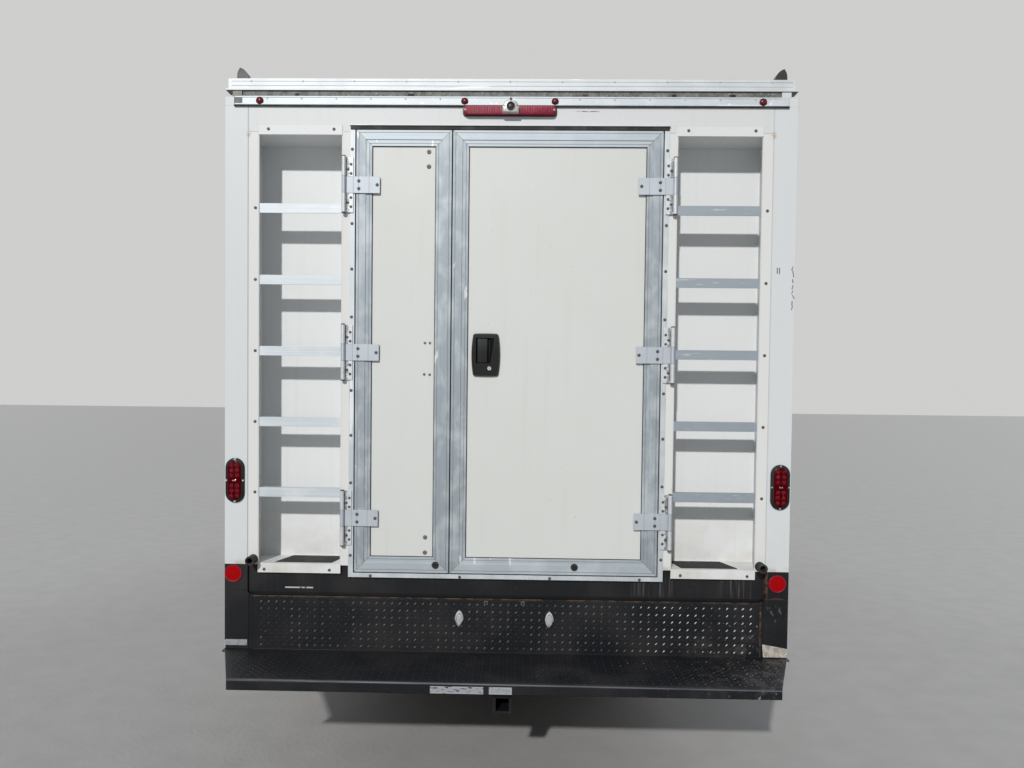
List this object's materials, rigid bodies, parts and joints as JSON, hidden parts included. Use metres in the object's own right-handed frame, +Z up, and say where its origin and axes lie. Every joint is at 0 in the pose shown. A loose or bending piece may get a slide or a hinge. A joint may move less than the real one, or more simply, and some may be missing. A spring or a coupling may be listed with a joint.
{
  "type": "box truck with rear ladder wells",
  "caption": "Box truck on a cutaway van chassis with twin rear doors, a ladder well in each rear corner, roof bars and a rear step.",
  "frame": {"origin": "on the ground, under the centre of the truck's bounding box", "axes": "+X to the kerb side (right of the truck), +Y forward, +Z up"},
  "size_m": [2.58, 6.356, 2.952],
  "materials": {
    "white_paint": "gloss white paint",
    "door_panel": "satin off-white panel",
    "black_steel": "satin black paint",
    "black_paint": "satin black paint",
    "aluminium": "mill finish",
    "zinc_steel": "zinc plated",
    "exhaust_steel": "dull steel",
    "cast": "bare casting",
    "rim": "silver paint",
    "tyre": "matt black rubber",
    "black_rubber": "matt black rubber",
    "black_plastic": "grained black",
    "grey_plastic": "grained dark grey",
    "red_lens": "red lens",
    "clear_lens": "clear lens",
    "glass": "lightly tinted",
    "seat_cloth": "dark grey cloth",
    "floor_boards": "sealed hardwood"
  },
  "bodies": {
    "truck": {"chassis_frame": "black_steel", "rear_axle": "black_steel", "front_suspension": "black_steel", "engine_block": "cast", "gearbox_and_shaft": "cast", "fuel_tank": "black_steel", "exhaust": "exhaust_steel", "box_floor": "floor_boards", "box_side_left": "white_paint", "box_side_right": "white_paint", "box_roof": "white_paint", "box_front_wall": "white_paint", "body_rails": "aluminium", "lower_skirts": "black_paint", "rear_frame": "white_paint", "ladder_recesses": "white_paint", "ladder_rungs": "aluminium", "door_jamb": "aluminium", "hinge_butts": "zinc_steel", "door_holdbacks": "black_rubber", "tail_lamps": "red_lens", "marker_lamps": "red_lens", "step_bumper": "black_steel", "hitch_receiver": "black_steel", "roof_bars": "aluminium", "rack_stops": "black_plastic", "cab_shell": "white_paint", "cab_floor": "black_plastic", "front_fenders": "white_paint", "grille": "black_plastic", "headlamps": "clear_lens", "front_bumper": "black_paint", "windscreen": "glass", "dashboard": "grey_plastic", "seats": "seat_cloth"},
    "left_cab_door": {"cab_door_left": "white_paint", "door_glass_left": "glass"},
    "right_cab_door": {"cab_door_right": "white_paint", "door_glass_right": "glass"},
    "hood_lid": {"hood": "white_paint"},
    "left_rear_door": {"rear_door_left_frame": "aluminium", "rear_door_left_panel": "door_panel"},
    "right_rear_door": {"rear_door_right_frame": "aluminium", "rear_door_right_panel": "door_panel", "rear_door_handle": "black_plastic"},
    "left_knuckle": {"knuckle_left": "cast"},
    "right_knuckle": {"knuckle_right": "cast"},
    "left_front_wheel": {"tyre_front_left": "tyre", "rim_front_left": "rim"},
    "right_front_wheel": {"tyre_front_right": "tyre", "rim_front_right": "rim"},
    "left_rear_wheels": {"tyres_rear_left": "tyre", "rims_rear_left": "rim"},
    "right_rear_wheels": {"tyres_rear_right": "tyre", "rims_rear_right": "rim"}
  },
  "joints": [
    {"name": "steer_left", "type": "hinge", "parent": "truck", "child": "left_knuckle", "pos_m": [-0.8, 2.328, 0.372], "axis": [0, 0, 1], "range_deg": [-32, 32]},
    {"name": "steer_right", "type": "hinge", "parent": "truck", "child": "right_knuckle", "pos_m": [0.8, 2.328, 0.372], "axis": [0, 0, 1], "range_deg": [-32, 32]},
    {"name": "front_left_spin", "type": "hinge", "parent": "left_knuckle", "child": "left_front_wheel", "pos_m": [-0.87, 2.328, 0.372], "axis": [1, 0, 0], "continuous": true},
    {"name": "front_right_spin", "type": "hinge", "parent": "right_knuckle", "child": "right_front_wheel", "pos_m": [0.87, 2.328, 0.372], "axis": [1, 0, 0], "continuous": true},
    {"name": "rear_left_spin", "type": "hinge", "parent": "truck", "child": "left_rear_wheels", "pos_m": [-0.93, -1.202, 0.372], "axis": [1, 0, 0], "continuous": true},
    {"name": "rear_right_spin", "type": "hinge", "parent": "truck", "child": "right_rear_wheels", "pos_m": [0.93, -1.202, 0.372], "axis": [1, 0, 0], "continuous": true},
    {"name": "rear_door_left_hinge", "type": "hinge", "parent": "truck", "child": "left_rear_door", "pos_m": [-0.69, -2.858, 1.745], "axis": [0, 0, 1], "range_deg": [-165, 0]},
    {"name": "rear_door_right_hinge", "type": "hinge", "parent": "truck", "child": "right_rear_door", "pos_m": [0.69, -2.858, 1.745], "axis": [0, 0, 1], "range_deg": [0, 165]},
    {"name": "cab_door_left_hinge", "type": "hinge", "parent": "truck", "child": "left_cab_door", "pos_m": [-1.007, 1.851, 1], "axis": [0, 0, 1], "range_deg": [-68, 0]},
    {"name": "cab_door_right_hinge", "type": "hinge", "parent": "truck", "child": "right_cab_door", "pos_m": [1.007, 1.851, 1], "axis": [0, 0, 1], "range_deg": [0, 68]},
    {"name": "hood_hinge", "type": "hinge", "parent": "truck", "child": "hood_lid", "pos_m": [0, 2.369, 1.168], "axis": [1, 0, 0], "range_deg": [0, 60]}
  ],
  "couplings": [
    {"joint": "steer_right", "follows": "steer_left", "ratio": 1}
  ]
}
